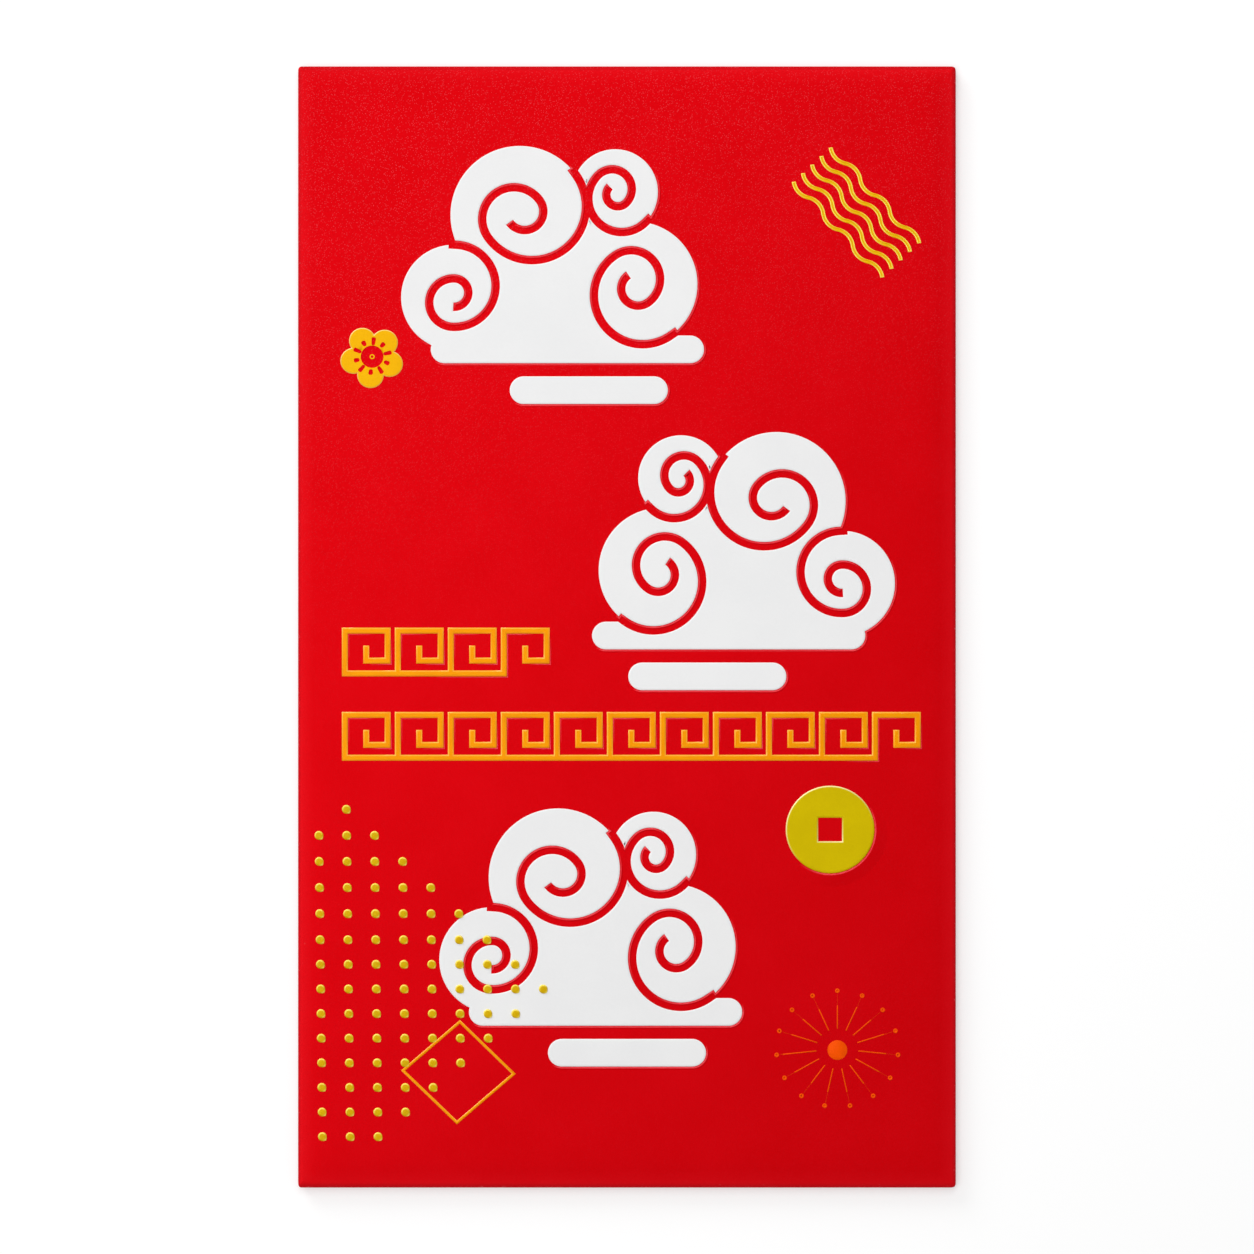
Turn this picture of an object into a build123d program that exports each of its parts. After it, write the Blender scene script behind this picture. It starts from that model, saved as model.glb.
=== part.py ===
from build123d import *
from math import acos, atan2, cos, hypot, radians, sin, sqrt
import os

os.makedirs("parts", exist_ok=True)

# Closed envelope lying on its back, in millimetres, with the origin on the table under its middle
envelope_width = 100.0
envelope_height = 170.5
paper_thickness = 0.3
pocket_gap = 1.3  # between the back panel and the front panel
glue_thickness = 0.1  # also the slack between the closed flap and the back panel
corner_relief = 0.6  # how far the bottom fold and the top crease stop short of the side edges

# Closure flap, turned down over the back along the top crease
flap_depth = 37.0
flap_root_inset = 1.5
flap_tip_inset = 9.0
flap_corner_radius = 11.0
crease_slack = 0.1

# Back panel, with a shallow thumb scoop at the mouth of the pocket
back_seam_inset = 1.0
back_foot_inset = 0.5
mouth_drop = 2.0
scoop_width = 46.0
scoop_depth = 5.0

# Side tab, glued inside the back panel
tab_width = 14.0
tab_end_taper = 5.0
tab_end_relief = 1.0
side_glue_width = 8.0
side_glue_end_margin = 9.0

# Bottom flap, glued outside the back panel
bottom_flap_depth = 17.0
bottom_flap_root_inset = 1.5
bottom_flap_tip_inset = 8.0
bottom_flap_corner_radius = 4.0
bottom_glue_width = 8.0
bottom_glue_end_margin = 13.0

# Raised print: thickness of the white and of the foil
white_height = 0.14
foil_height = 0.12

# Coin with a square hole
coin_radius = 6.7
coin_hole = 3.6
coin_from_right = 19.25
coin_below_fret = 3.65

# Plum blossom with five petals
petal_count = 5
petal_radius = 2.0
petal_ring_radius = 2.85
petal_turn = -95.0
blossom_eye_radius = 1.72
blossom_pip_radius = 0.44
blossom_pip_hole = 0.14
stamen_ring_radius = 2.38
long_stamen = (1.14, 0.44)
short_stamen = (0.8, 0.48)
blossom_from_left = 11.15
blossom_from_top = 43.95

# Five wavy lines
wave_count = 5
wave_length = 19.8
wave_bends = 6
wave_bend_angle = 35.0
wave_pitch = 1.91
wave_width = 0.6
wave_turn = -47.2
wave_from_right = 15.1
wave_from_top = 22.05

# Field of round studs, widest part way up
stud_radius = 0.69
stud_height = 0.28
stud_columns = 9
stud_rows = 14
stud_widest_row = 6
stud_column_pitch = 4.26
stud_close_rows = 8
stud_close_pitch = 3.74
stud_open_pitch = 3.96
stud_from_left = 3.1
stud_from_bottom = 7.85

# Outlined diamond
diamond_width = 17.2
diamond_height = 15.8
diamond_line = 0.48
diamond_turn = -1.7
diamond_from_left = 24.3
diamond_from_bottom = 17.6

# Firework burst
burst_rays = 15
burst_disc_radius = 1.5
ray_start_radius = 3.15
ray_end_radius = 7.0
ray_width = 0.23
spark_ring_radius = 9.1
spark_radius = 0.39
burst_from_right = 18.05
burst_from_bottom = 21.0

# Key fret bands
fret_line = 0.9
fret_height = 7.4
fret_pitch = 8.05
fret_key = [(0, 0), (0, 4), (4, 4), (4, 1.2), (2, 1.2), (2, 2.6)]  # turns of one key, in quarters of its rise
fret_from_left = 6.7
fret_from_right = 5.0  # the least margin at the end of the lower band
upper_fret_keys = 4
upper_fret_y = -3.8
lower_fret_y = -16.6

# Scrolled cloud as drawn, before it is fitted to a space, with lobes as (x, y, radius) over the top
cloud_lobes = [(-14.5, -4.0, 8.0), (-4.5, 8.5, 10.5), (10.0, 12.0, 6.5), (13.0, -2.0, 9.5)]
cloud_groove = 1.3
cloud_curl = (1.0, 0.56, 0.36, 0.18)  # reach of the scroll after each half turn, in lobe radii
cloud_bar_height = 4.2
cloud_bar_y = -11.9
cloud_bar_ends = (-18.0, 23.5)
cloud_streak_y = -18.1
cloud_streak_ends = (-6.0, 18.0)

# Spaces that the clouds are fitted to
upper_cloud_from_left = 15.7
upper_cloud_from_right = 38.3
upper_cloud_from_top = 12.2
upper_cloud_gap = 4.0  # above the middle cloud
middle_cloud_from_left = 44.7
middle_cloud_from_right = 9.3
middle_cloud_gap = 3.3  # above the lower fret band
middle_cloud_height = 39.4
lower_cloud_from_left = 21.5
lower_cloud_from_right = 32.5
lower_cloud_from_bottom = 18.5
lower_cloud_gap = 7.0  # below the lower fret band

# Heights of the paper layers
back_bottom = paper_thickness + glue_thickness
back_top = back_bottom + paper_thickness
tab_bottom = back_top + glue_thickness
front_bottom = back_top + pocket_gap
front_top = front_bottom + paper_thickness

# Outer radii of the folds, set by the layers that they join
left_radius = (front_top - tab_bottom) / 2
right_radius = (front_top - back_bottom) / 2
end_radius = front_top / 2

# Lines where the flat front panel gives way to the folds
panel_left = -envelope_width / 2 + left_radius
panel_right = envelope_width / 2 - right_radius
panel_bottom = -envelope_height / 2 + end_radius
panel_top = envelope_height / 2 - end_radius
panel_length = panel_top - panel_bottom

# Lines that the print above and below the lower fret band is set out from
lower_fret_top = lower_fret_y + fret_height / 2
lower_fret_bottom = lower_fret_y - fret_height / 2
middle_cloud_foot = lower_fret_top + middle_cloud_gap
upper_cloud_foot = middle_cloud_foot + middle_cloud_height + upper_cloud_gap
upper_cloud_top = envelope_height / 2 - upper_cloud_from_top
lower_cloud_foot = lower_cloud_from_bottom - envelope_height / 2

front_plane = Plane.XY.offset(front_top)


def finish(piece, name):
    piece.part.label = name
    export_step(piece.part, f"parts/{name}.step")


def from_left_bottom(left, bottom):
    return (left - envelope_width / 2, bottom - envelope_height / 2)


def from_right_bottom(right, bottom):
    return (envelope_width / 2 - right, bottom - envelope_height / 2)


def room_between(left, right):
    # Width and middle of the space that two side margins leave
    return (envelope_width - left - right, (left - right) / 2)


def from_left_top(left, top):
    return (left - envelope_width / 2, envelope_height / 2 - top)


def from_right_top(right, top):
    return (envelope_width / 2 - right, envelope_height / 2 - top)


def span(low_x, high_x, low_y, high_y):
    # Rectangle between two corners
    with BuildSketch() as sheet:
        with Locations(((low_x + high_x) / 2, (low_y + high_y) / 2)):
            Rectangle(high_x - low_x, high_y - low_y)
    return sheet.sketch


def fold_section(radius):
    # Half ring of paper around the sketch origin, open towards local +X
    with BuildSketch() as section:
        Circle(radius)
        Circle(radius - paper_thickness, mode=Mode.SUBTRACT)
        Rectangle(radius, 2 * radius, align=(Align.MIN, Align.CENTER), mode=Mode.SUBTRACT)
    return section.sketch


def tapered_flap(root_y, tip_y, root_inset, tip_inset, corner_radius):
    # Flap across the envelope, narrower at its rounded free edge
    root_x = envelope_width / 2 - root_inset
    tip_x = envelope_width / 2 - tip_inset
    with BuildSketch() as flap:
        with BuildLine():
            Polyline((-root_x, root_y), (-tip_x, tip_y), (tip_x, tip_y), (root_x, root_y), close=True)
        make_face()
        tip_corners = flap.vertices().group_by(lambda corner: abs(corner.Y - tip_y))[0]
        fillet(tip_corners, corner_radius)
    return flap.sketch


def rounded_bar(ends, y):
    with BuildSketch() as bar:
        with Locations(((ends[0] + ends[1]) / 2, y)):
            SlotOverall(ends[1] - ends[0], cloud_bar_height)
    return bar.sketch


def lobe_notch_angle(lobe, next_lobe):
    # Direction from a lobe's centre to the outer point where the next lobe crosses it
    across = hypot(next_lobe[0] - lobe[0], next_lobe[1] - lobe[1])
    along = (across**2 + lobe[2] ** 2 - next_lobe[2] ** 2) / (2 * across)
    heading = atan2(next_lobe[1] - lobe[1], next_lobe[0] - lobe[0])
    return heading + acos(along / lobe[2])


def scroll_line(lobe, angle):
    # Short lead-in from outside, then half circles that shrink clockwise to near the lobe's centre
    x, y, radius = lobe
    with BuildLine() as scroll:
        point = Vector(x + radius * cos(angle), y + radius * sin(angle))
        heading = Vector(sin(angle), -cos(angle))
        Line(point - heading * cloud_groove, point)
        for outer, inner in zip(cloud_curl, cloud_curl[1:]):
            turn = JernArc(point, heading, radius * (outer + inner) / 2, -180)
            point = turn @ 1
            heading = turn % 1
    return scroll.line


def scrolled_cloud():
    # Lobes over a long bar, with a scroll cut into each lobe and a streak below
    last = cloud_lobes[-1]
    bar_drop = cloud_bar_y + cloud_bar_height / 2 - last[1]
    notch_angles = [lobe_notch_angle(a, b) for a, b in zip(cloud_lobes, cloud_lobes[1:])]
    notch_angles.append(atan2(bar_drop, sqrt(last[2] ** 2 - bar_drop**2)))
    with BuildSketch() as cloud:
        for x, y, radius in cloud_lobes:
            with Locations((x, y)):
                Circle(radius)
        with BuildLine():
            centres = [(x, y) for x, y, radius in cloud_lobes]
            Polyline(*centres, (last[0], cloud_bar_y), (cloud_lobes[0][0], cloud_bar_y), close=True)
        make_face()
        add(rounded_bar(cloud_bar_ends, cloud_bar_y))
        for lobe, angle in zip(cloud_lobes, notch_angles):
            trace(scroll_line(lobe, angle), line_width=cloud_groove, mode=Mode.SUBTRACT)
        add(rounded_bar(cloud_streak_ends, cloud_streak_y))
    return cloud.sketch


def fitted_cloud(width, height):
    # Cloud scaled to fit a space, standing on the origin
    drawn = scrolled_cloud()
    box = drawn.bounding_box()
    fit = min(width / box.size.X, height / box.size.Y)
    with BuildSketch() as cloud:
        with Locations((-fit * box.center().X, -fit * box.min.Y)):
            add(scale(drawn, by=fit, mode=Mode.PRIVATE))
    return cloud.sketch


def fret_band(keys):
    # Unbroken line that turns in on itself once in every key, from local x = 0
    rise = fret_height - fret_line
    step = rise / 4
    with BuildSketch() as band:
        for number in range(keys):
            with BuildLine():
                Polyline(*[(number * fret_pitch + x * step, y * step - rise / 2) for x, y in fret_key])
            trace(line_width=fret_line)
        base_length = (keys - 1) * fret_pitch + fret_line
        with Locations((-fret_line / 2, -rise / 2)):
            Rectangle(base_length, fret_line, align=(Align.MIN, Align.CENTER))
    return band.sketch


def wavy_line():
    # Tangent arcs bending to either side of local X, centred on the origin
    chord = wave_length / wave_bends
    bend = radians(wave_bend_angle)
    with BuildSketch() as line:
        with BuildLine():
            point = (-wave_length / 2, 0)
            heading = (cos(bend), -sin(bend))
            for number in range(wave_bends):
                side = 1 if number % 2 == 0 else -1
                arc = JernArc(point, heading, chord / 2 / sin(bend), side * 2 * wave_bend_angle)
                point = arc @ 1
                heading = arc % 1
        trace(line_width=wave_width)
    return line.sketch


def diamond_outline():
    half_width = diamond_width / 2
    half_height = diamond_height / 2
    inner_scale = 1 - diamond_line * hypot(half_width, half_height) / (half_width * half_height)
    corners = [(half_width, 0), (0, half_height), (-half_width, 0), (0, -half_height)]
    with BuildSketch() as diamond:
        Polygon(*corners, align=None)
        Polygon(*[(x * inner_scale, y * inner_scale) for x, y in corners], align=None, mode=Mode.SUBTRACT)
    return diamond.sketch


def stud_places():
    # Rows from the bottom up, each starting at the left column and shorter away from the widest row
    first_x, first_y = from_left_bottom(stud_from_left, stud_from_bottom)
    places = []
    for row in range(stud_rows):
        open_rows = max(row - stud_close_rows, 0)
        y = first_y + (row - open_rows) * stud_close_pitch + open_rows * stud_open_pitch
        first_column = 1 if row == stud_rows - 1 else 0
        for column in range(first_column, stud_columns - abs(row - stud_widest_row)):
            places.append((first_x + column * stud_column_pitch, y))
    return places


stud_points = stud_places()
diamond_place = Location((*from_left_bottom(diamond_from_left, diamond_from_bottom), 0), (0, 0, diamond_turn))

# Front panel between the folds
with BuildPart() as front_panel:
    with BuildSketch(Plane.XY.offset(front_bottom)):
        add(span(panel_left, panel_right, panel_bottom, panel_top))
    extrude(amount=paper_thickness)
finish(front_panel, "front_panel")

# Back panel, free at the left seam and open at the mouth
with BuildPart() as back_panel:
    mouth_y = panel_top - mouth_drop
    scoop_radius = (scoop_width**2 / 4 + scoop_depth**2) / (2 * scoop_depth)
    with BuildSketch(Plane.XY.offset(back_bottom)):
        add(span(panel_left + back_seam_inset, panel_right, panel_bottom + back_foot_inset, mouth_y))
        with Locations((0, mouth_y + scoop_radius - scoop_depth)):
            Circle(scoop_radius, mode=Mode.SUBTRACT)
    extrude(amount=paper_thickness)
finish(back_panel, "back_panel")

# Side tab, turned in from the left fold
with BuildPart() as side_glue_tab:
    tab_end = panel_length / 2 - tab_end_relief
    tab_middle = (panel_top + panel_bottom) / 2
    with BuildSketch(Plane.XY.offset(tab_bottom)):
        with BuildLine(Plane((panel_left, tab_middle))):
            tab_tip = tab_end - tab_end_taper
            Polyline((0, -tab_end), (tab_width, -tab_tip), (tab_width, tab_tip), (0, tab_end), close=True)
        make_face()
    extrude(amount=paper_thickness)
finish(side_glue_tab, "side_glue_tab")

# Bottom flap, turned up over the back
with BuildPart() as bottom_flap:
    with BuildSketch():
        add(
            tapered_flap(
                panel_bottom,
                panel_bottom + bottom_flap_depth,
                bottom_flap_root_inset,
                bottom_flap_tip_inset,
                bottom_flap_corner_radius,
            )
        )
    extrude(amount=paper_thickness)
finish(bottom_flap, "bottom_flap")

# Closure flap, turned down over the mouth
with BuildPart() as closure_flap:
    with BuildSketch():
        add(
            tapered_flap(
                panel_top - crease_slack,
                panel_top - flap_depth,
                flap_root_inset,
                flap_tip_inset,
                flap_corner_radius,
            )
        )
    extrude(amount=paper_thickness)
finish(closure_flap, "closure_flap")

# Folds along the sides and the bottom, and the crease that the flap swings on
with BuildPart() as left_fold:
    left_axis = (panel_left, (panel_top + panel_bottom) / 2, front_top - left_radius)
    with BuildSketch(Plane(left_axis, x_dir=(1, 0, 0), z_dir=(0, -1, 0))):
        add(fold_section(left_radius))
    extrude(amount=panel_length / 2, both=True)
finish(left_fold, "left_fold")

with BuildPart() as right_fold:
    right_axis = (panel_right, (panel_top + panel_bottom) / 2, front_top - right_radius)
    with BuildSketch(Plane(right_axis, x_dir=(-1, 0, 0), z_dir=(0, 1, 0))):
        add(fold_section(right_radius))
    extrude(amount=panel_length / 2, both=True)
finish(right_fold, "right_fold")

with BuildPart() as bottom_fold:
    with BuildSketch(Plane((0, panel_bottom, end_radius), x_dir=(0, 1, 0), z_dir=(1, 0, 0))):
        add(fold_section(end_radius))
    extrude(amount=envelope_width / 2 - corner_relief, both=True)
finish(bottom_fold, "bottom_fold")

with BuildPart() as flap_crease:
    with BuildSketch(Plane((0, panel_top, end_radius), x_dir=(0, -1, 0), z_dir=(-1, 0, 0))):
        add(fold_section(end_radius))
    extrude(amount=envelope_width / 2 - corner_relief, both=True)
finish(flap_crease, "flap_crease")

# Glue lines in the side seam and under the bottom flap
with BuildPart() as side_seam_glue:
    seam_x = panel_left + (tab_width + back_seam_inset) / 2
    seam_end = tab_end - tab_end_taper - side_glue_end_margin
    with BuildSketch(Plane.XY.offset(back_top)):
        with Locations((seam_x, tab_middle)):
            Rectangle(side_glue_width, 2 * seam_end)
    extrude(amount=glue_thickness)
finish(side_seam_glue, "side_seam_glue")

with BuildPart() as bottom_seam_glue:
    with BuildSketch(Plane.XY.offset(paper_thickness)):
        with Locations((0, panel_bottom + (bottom_flap_depth + back_foot_inset) / 2)):
            Rectangle(envelope_width - 2 * bottom_glue_end_margin, bottom_glue_width)
    extrude(amount=glue_thickness)
finish(bottom_seam_glue, "bottom_seam_glue")

# Foil ornaments on the front
with BuildPart() as coin_foil:
    coin_y = lower_fret_bottom - coin_below_fret - coin_radius
    with BuildSketch(front_plane):
        with Locations((envelope_width / 2 - coin_from_right, coin_y)):
            Circle(coin_radius)
            Rectangle(coin_hole, coin_hole, mode=Mode.SUBTRACT)
    extrude(amount=foil_height)
finish(coin_foil, "coin_foil")

with BuildPart() as blossom_foil:
    with BuildSketch(front_plane):
        with Locations(from_left_top(blossom_from_left, blossom_from_top)):
            with PolarLocations(petal_ring_radius, petal_count, start_angle=petal_turn):
                Circle(petal_radius)
            Circle(blossom_eye_radius, mode=Mode.SUBTRACT)
            with PolarLocations(stamen_ring_radius, petal_count, start_angle=petal_turn):
                SlotOverall(*short_stamen, mode=Mode.SUBTRACT)
            with PolarLocations(stamen_ring_radius, petal_count, start_angle=petal_turn + 180 / petal_count):
                SlotOverall(*long_stamen, mode=Mode.SUBTRACT)
            Circle(blossom_pip_radius)
            Circle(blossom_pip_hole, mode=Mode.SUBTRACT)
    extrude(amount=foil_height)
finish(blossom_foil, "blossom_foil")

with BuildPart() as wave_foil:
    wave_place = Location((*from_right_top(wave_from_right, wave_from_top), 0), (0, 0, wave_turn))
    with BuildSketch(front_plane):
        with Locations(wave_place):
            with GridLocations(0, wave_pitch, 1, wave_count):
                add(wavy_line())
    extrude(amount=foil_height)
finish(wave_foil, "wave_foil")

with BuildPart() as diamond_foil:
    with BuildSketch(front_plane):
        with Locations(diamond_place):
            add(diamond_outline())
    extrude(amount=foil_height)
finish(diamond_foil, "diamond_foil")

with BuildPart() as burst_foil:
    with BuildSketch(front_plane):
        with Locations(from_right_bottom(burst_from_right, burst_from_bottom)):
            Circle(burst_disc_radius)
            with PolarLocations((ray_start_radius + ray_end_radius) / 2, burst_rays, start_angle=90):
                Rectangle(ray_end_radius - ray_start_radius, ray_width)
            with PolarLocations(spark_ring_radius, burst_rays, start_angle=90):
                Circle(spark_radius)
    extrude(amount=foil_height)
finish(burst_foil, "burst_foil")

# Key fret bands
with BuildPart() as fret_band_upper:
    with BuildSketch(front_plane):
        with Locations((fret_from_left + fret_line / 2 - envelope_width / 2, upper_fret_y)):
            add(fret_band(upper_fret_keys))
    extrude(amount=foil_height)
finish(fret_band_upper, "fret_band_upper")

# The lower band has as many keys as fit between its margins
with BuildPart() as fret_band_lower:
    lower_fret_room = envelope_width - fret_from_left - fret_from_right - fret_height
    lower_fret_keys = 1 + int(lower_fret_room / fret_pitch)
    with BuildSketch(front_plane):
        with Locations((fret_from_left + fret_line / 2 - envelope_width / 2, lower_fret_y)):
            add(fret_band(lower_fret_keys))
    extrude(amount=foil_height)
finish(fret_band_lower, "fret_band_lower")

# White clouds, the middle one facing the other way and the lower one kept clear of the diamond's line
with BuildPart() as cloud_upper:
    upper_room, upper_x = room_between(upper_cloud_from_left, upper_cloud_from_right)
    upper_cloud = fitted_cloud(upper_room, upper_cloud_top - upper_cloud_foot)
    with BuildSketch(front_plane):
        with Locations((upper_x, upper_cloud_top - upper_cloud.bounding_box().size.Y)):
            add(upper_cloud)
    extrude(amount=white_height)
finish(cloud_upper, "cloud_upper")

with BuildPart() as cloud_middle:
    middle_room, middle_x = room_between(middle_cloud_from_left, middle_cloud_from_right)
    middle_cloud = fitted_cloud(middle_room, middle_cloud_height)
    with BuildSketch(front_plane):
        with Locations((middle_x, middle_cloud_foot)):
            add(mirror(middle_cloud, about=Plane.YZ, mode=Mode.PRIVATE))
    extrude(amount=white_height)
finish(cloud_middle, "cloud_middle")

with BuildPart() as cloud_lower:
    lower_room = envelope_width - lower_cloud_from_left - lower_cloud_from_right
    lower_cloud = fitted_cloud(lower_room, lower_fret_bottom - lower_cloud_gap - lower_cloud_foot)
    lower_x = lower_cloud_from_left - envelope_width / 2 + lower_cloud.bounding_box().size.X / 2
    with BuildSketch(front_plane) as lower_cloud_print:
        with Locations((lower_x, lower_cloud_foot)):
            add(lower_cloud)
        with Locations(diamond_place):
            add(diamond_outline(), mode=Mode.SUBTRACT)
    extrude(amount=white_height)
finish(cloud_lower, "cloud_lower")

# Domed studs, laid over the lower cloud and parted where the diamond's line runs over them
with BuildPart() as one_stud:
    stud_sphere = (stud_radius**2 + stud_height**2) / (2 * stud_height)
    with BuildSketch(Plane.XZ):
        with BuildLine():
            crown = RadiusArc((0, stud_height), (stud_radius, 0), stud_sphere)
            Polyline(crown @ 1, (0, 0), crown @ 0)
        make_face()
    revolve(axis=Axis.Z)

with BuildPart() as stud_foil:
    stud_spots = []
    for x, y in stud_points:
        gap = Vertex(x, y, front_top).distance_to(lower_cloud_print.sketch)
        stud_spots.append((x, y, front_top + white_height if gap < stud_radius else front_top))
    with Locations(*stud_spots):
        add(one_stud.part)
    with BuildSketch(front_plane):
        with Locations(diamond_place):
            add(diamond_outline())
    extrude(amount=white_height + stud_height, mode=Mode.SUBTRACT)
finish(stud_foil, "stud_foil")
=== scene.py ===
import math

import bmesh
import bpy
from mathutils import Matrix, Vector, noise


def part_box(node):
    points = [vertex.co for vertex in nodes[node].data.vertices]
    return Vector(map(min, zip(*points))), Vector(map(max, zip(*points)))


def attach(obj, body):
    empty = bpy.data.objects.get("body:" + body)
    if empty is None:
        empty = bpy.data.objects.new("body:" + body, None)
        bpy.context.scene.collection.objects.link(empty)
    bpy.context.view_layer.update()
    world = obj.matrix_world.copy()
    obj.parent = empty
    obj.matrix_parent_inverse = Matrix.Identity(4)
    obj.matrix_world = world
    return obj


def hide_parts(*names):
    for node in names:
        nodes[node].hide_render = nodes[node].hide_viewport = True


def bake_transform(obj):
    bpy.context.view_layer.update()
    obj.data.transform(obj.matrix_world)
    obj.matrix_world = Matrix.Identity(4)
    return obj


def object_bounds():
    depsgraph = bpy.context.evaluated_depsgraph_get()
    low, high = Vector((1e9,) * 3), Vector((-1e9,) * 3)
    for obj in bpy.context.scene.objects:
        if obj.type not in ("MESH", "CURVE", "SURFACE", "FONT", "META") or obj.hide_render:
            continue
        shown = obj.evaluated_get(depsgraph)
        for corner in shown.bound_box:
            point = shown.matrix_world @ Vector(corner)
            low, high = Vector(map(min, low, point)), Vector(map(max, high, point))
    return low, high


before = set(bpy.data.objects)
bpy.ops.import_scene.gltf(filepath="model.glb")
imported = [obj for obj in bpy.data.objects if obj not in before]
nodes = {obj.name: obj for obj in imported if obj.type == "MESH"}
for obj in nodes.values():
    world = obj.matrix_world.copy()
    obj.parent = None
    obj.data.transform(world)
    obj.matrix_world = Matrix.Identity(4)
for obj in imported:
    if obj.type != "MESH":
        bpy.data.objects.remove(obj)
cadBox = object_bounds()
mm = 0.001
weld = 0.001 * mm      # points closer than this are one
panelLow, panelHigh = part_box("front_panel")
paperThick = panelHigh.z - panelLow.z
print("stage: frame loaded,", len(nodes), "nodes")


# Finishes

class Wire:
    # one output socket that can be used in sums
    def __init__(self, finish, socket):
        self.finish = finish
        self.socket = socket

    def join(self, operation, first, second):
        return self.finish.add("ShaderNodeMath", {"operation": operation}, {0: first, 1: second})

    def __add__(self, other):
        return self.join("ADD", self, other)

    def __radd__(self, other):
        return self.join("ADD", other, self)

    def __sub__(self, other):
        return self.join("SUBTRACT", self, other)

    def __rsub__(self, other):
        return self.join("SUBTRACT", other, self)

    def __mul__(self, other):
        return self.join("MULTIPLY", self, other)

    def __rmul__(self, other):
        return self.join("MULTIPLY", other, self)


class Finish:
    # one material or world, built node by node
    def __init__(self, owner, out="ShaderNodeOutputMaterial"):
        self.owner = owner
        owner.use_nodes = True
        self.tree = owner.node_tree
        self.tree.nodes.clear()
        self.out = self.tree.nodes.new(out)

    def feed(self, socket, value):
        if isinstance(value, Wire):
            self.tree.links.new(value.socket, socket)
        else:
            socket.default_value = value

    def add(self, kind, settings=None, sockets=None, out=0):
        node = self.tree.nodes.new(kind)
        for key, value in (settings or {}).items():
            setattr(node, key, value)
        for key, value in (sockets or {}).items():
            self.feed(node.inputs[key], value)
        return Wire(self, node.outputs[out])

    def place(self):
        return self.add("ShaderNodeTexCoord", out="Object")

    def along(self, axis):
        return self.add("ShaderNodeSeparateXYZ", {}, {"Vector": self.place()}, axis)

    def grain(self, size, detail=2.0, rough=0.5):
        # noise with spots about this many millimetres across
        return self.add("ShaderNodeTexNoise", {}, {
            "Vector": self.place(), "Scale": 1 / (size * mm), "Detail": detail, "Roughness": rough})

    def dots(self, gap):
        # distance to the nearest of many points about this many millimetres apart, in parts of the gap
        return self.add("ShaderNodeTexVoronoi", {}, {
            "Vector": self.place(), "Scale": 1 / (gap * mm)}, "Distance")

    def step(self, value, low, high):
        # 0 below low, 1 above high
        return self.add("ShaderNodeMapRange", {"interpolation_type": "SMOOTHSTEP"}, {
            "Value": value, "From Min": low, "From Max": high})

    def mixed(self, share, first, second):
        return self.add("ShaderNodeMix", {"data_type": "RGBA"}, {0: share, 6: first, 7: second}, 2)

    def bump(self, height, strength, depth):
        return self.add("ShaderNodeBump", {}, {
            "Height": height, "Strength": strength, "Distance": depth * mm})

    def painted(self, name):
        # a value stored on the piece's points
        return self.add("ShaderNodeAttribute", {"attribute_name": name}, {}, "Fac")

    def seenRay(self):
        # 1 where the camera looks, straight or by a reflection
        rays = [self.add("ShaderNodeLightPath", out=ray) for ray in
                ("Is Camera Ray", "Is Glossy Ray", "Is Transmission Ray")]
        return rays[0].join("MAXIMUM", rays[0].join("MAXIMUM", rays[0], rays[1]), rays[2])

    def shade(self, shader):
        self.feed(self.out.inputs["Surface"], shader)
        return self.owner

    def surface(self, **sockets):
        named = {key.replace("_", " "): value for key, value in sockets.items()}
        return self.shade(self.add("ShaderNodeBsdfPrincipled", {}, named))


def colour(red, green, blue):
    return (red, green, blue, 1.0)


# each noise below is its size in mm, its detail and its roughness

redLook = {
    "deep": colour(0.514, 0.0008, 0.0028),
    "bright": colour(0.550, 0.0014, 0.0042),
    # pale pearl specks, which also carry a painted sheen towards the top left
    "fleckAndSheen": colour(0.80, 0.150, 0.190),
    "edge": colour(0.66, 0.009, 0.015),          # paler along the folds: partly worn paper, partly a painted highlight on the rolled edges
    "worn": colour(0.82, 0.24, 0.26),            # rubbed spots on the folds
    "ridgeHighlightColour": colour(0.88, 0.11, 0.15),           # painted highlight where the pressed paper stands up on the lower right of the print
    "tint": colour(1.0, 0.55, 0.55),             # of the lustre at low angles
    "fibre": (0.24, 3.0, 0.6), "cloud": (9.0, 3.0, 0.55), "dent": (0.9, 2.0),
    "patch": (3.0, 2.0), "spot": (0.42, 2.0, 0.6),
    "fibreShare": 0.6, "toneRange": (0.32, 0.68),
    "fleckGap": 0.26, "fleckSize": (0.10, 0.30),
    "fleckLeast": 0.03, "fleckSheenAtTop": 0.26,       # how strong the flecks are low down, and with the painted sheen towards the top left
    "sheenRange": (-0.01, 0.10), "sheenLean": 0.3,
    "edgeHighlightLeast": 0.55, "edgeHighlightPatch": 0.5,
    "spotLean": 0.20, "spotRange": (0.76, 0.92), "spotMost": 0.35,
    "pearl": 0.24,                               # share of metallic lustre
    "rough": 0.41, "roughSpread": 0.10,
    "specular": 0.06, "ior": 1.15,
    "bumpFibre": 0.7, "bumpStrength": 0.22, "bumpDepth": 0.04,
    # share of the painted highlight on the pressed paper, and its clear gloss
    "ridgeHighlightMix": 0.6, "gloss": 0.45, "glossRough": 0.22, "glossIor": 1.45,
}


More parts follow.
